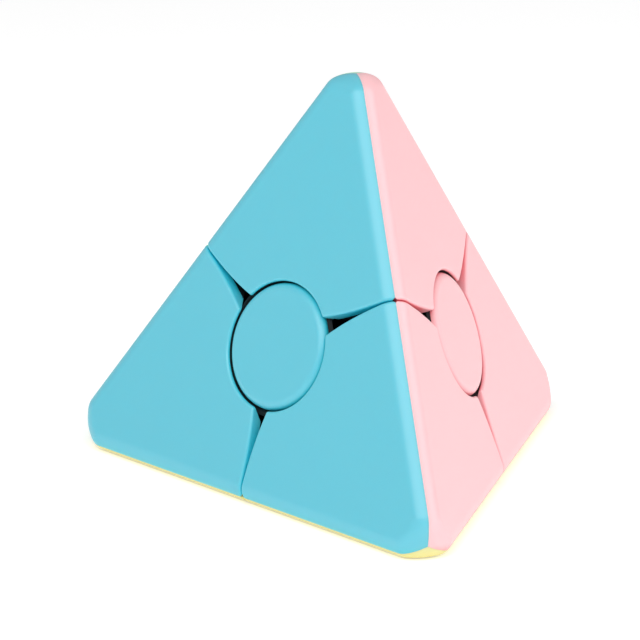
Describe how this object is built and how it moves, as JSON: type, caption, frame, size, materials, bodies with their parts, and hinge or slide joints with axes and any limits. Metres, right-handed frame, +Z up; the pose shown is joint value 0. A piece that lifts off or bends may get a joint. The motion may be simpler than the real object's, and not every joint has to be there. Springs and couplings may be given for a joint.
{
  "type": "pyramid twisty puzzle",
  "caption": "Two-layer pyramid twisty puzzle with rounded edges: turning three-sided corners around a round disc in each face.",
  "frame": {"origin": "middle of the flat base that the puzzle stands on, straight under its centre", "axes": "+Z up through the top corner, -Y towards the front corner, +X to the right"},
  "size_m": [0.0872, 0.0772, 0.0725],
  "materials": {
    "blue_plastic": "smooth satin moulded plastic, coloured right through",
    "pink_plastic": "smooth satin moulded plastic, coloured right through",
    "yellow_plastic": "smooth satin moulded plastic, coloured right through",
    "green_plastic": "smooth satin moulded plastic, coloured right through",
    "black_plastic": "matt moulded plastic",
    "screw_steel": "bright zinc-plated steel",
    "spring_steel": "drawn spring steel wire"
  },
  "bodies": {
    "middle": {"core": "black_plastic", "corner_frame_right": "black_plastic", "tile_right_pink": "pink_plastic", "tile_right_yellow": "yellow_plastic", "tile_right_green": "green_plastic", "screw_top": "screw_steel", "washer_top": "screw_steel", "spring_top": "spring_steel", "screw_front": "screw_steel", "washer_front": "screw_steel", "spring_front": "spring_steel", "screw_left": "screw_steel", "washer_left": "screw_steel", "spring_left": "spring_steel", "screw_right": "screw_steel", "washer_right": "screw_steel", "spring_right": "spring_steel"},
    "top_corner": {"corner_frame_top": "black_plastic", "tile_top_blue": "blue_plastic", "tile_top_pink": "pink_plastic", "tile_top_green": "green_plastic"},
    "front_corner": {"corner_frame_front": "black_plastic", "tile_front_blue": "blue_plastic", "tile_front_pink": "pink_plastic", "tile_front_yellow": "yellow_plastic"},
    "left_corner": {"corner_frame_left": "black_plastic", "tile_left_blue": "blue_plastic", "tile_left_yellow": "yellow_plastic", "tile_left_green": "green_plastic"},
    "blue_disc": {"disc_carrier_blue": "black_plastic", "disc_cap_blue": "blue_plastic"},
    "pink_disc": {"disc_carrier_pink": "black_plastic", "disc_cap_pink": "pink_plastic"},
    "yellow_disc": {"disc_carrier_yellow": "black_plastic", "disc_cap_yellow": "yellow_plastic"},
    "green_disc": {"disc_carrier_green": "black_plastic", "disc_cap_green": "green_plastic"}
  },
  "joints": [
    {"name": "top_turn", "type": "hinge", "parent": "middle", "child": "top_corner", "pos_m": [0, 0, 0.02041], "axis": [0, 0, 1], "continuous": true},
    {"name": "front_turn", "type": "hinge", "parent": "middle", "child": "front_corner", "pos_m": [0, 0, 0.02041], "axis": [0, -0.9428, -0.3333], "range_deg": [-360, 360]},
    {"name": "left_turn", "type": "hinge", "parent": "middle", "child": "left_corner", "pos_m": [0, 0, 0.02041], "axis": [-0.8165, 0.4714, -0.3333], "range_deg": [-360, 360]},
    {"name": "yellow_disc_left_turn", "type": "hinge", "parent": "front_corner", "child": "yellow_disc", "pos_m": [0, 0, 0.02041], "axis": [-0.8165, 0.4714, -0.3333], "range_deg": [-360, 360]},
    {"name": "green_disc_left_turn", "type": "hinge", "parent": "top_corner", "child": "green_disc", "pos_m": [0, 0, 0.02041], "axis": [-0.8165, 0.4714, -0.3333], "range_deg": [-360, 360]},
    {"name": "pink_disc_front_turn", "type": "hinge", "parent": "top_corner", "child": "pink_disc", "pos_m": [0, 0, 0.02041], "axis": [0, -0.9428, -0.3333], "range_deg": [-360, 360]},
    {"name": "blue_disc_left_turn", "type": "hinge", "parent": "pink_disc", "child": "blue_disc", "pos_m": [0, 0, 0.02041], "axis": [-0.8165, 0.4714, -0.3333], "range_deg": [-360, 360]}
  ],
  "couplings": [
    {"joint": "yellow_disc_left_turn", "follows": "left_turn", "ratio": 1},
    {"joint": "green_disc_left_turn", "follows": "left_turn", "ratio": 1},
    {"joint": "pink_disc_front_turn", "follows": "front_turn", "ratio": 1},
    {"joint": "blue_disc_left_turn", "follows": "left_turn", "ratio": 1}
  ]
}
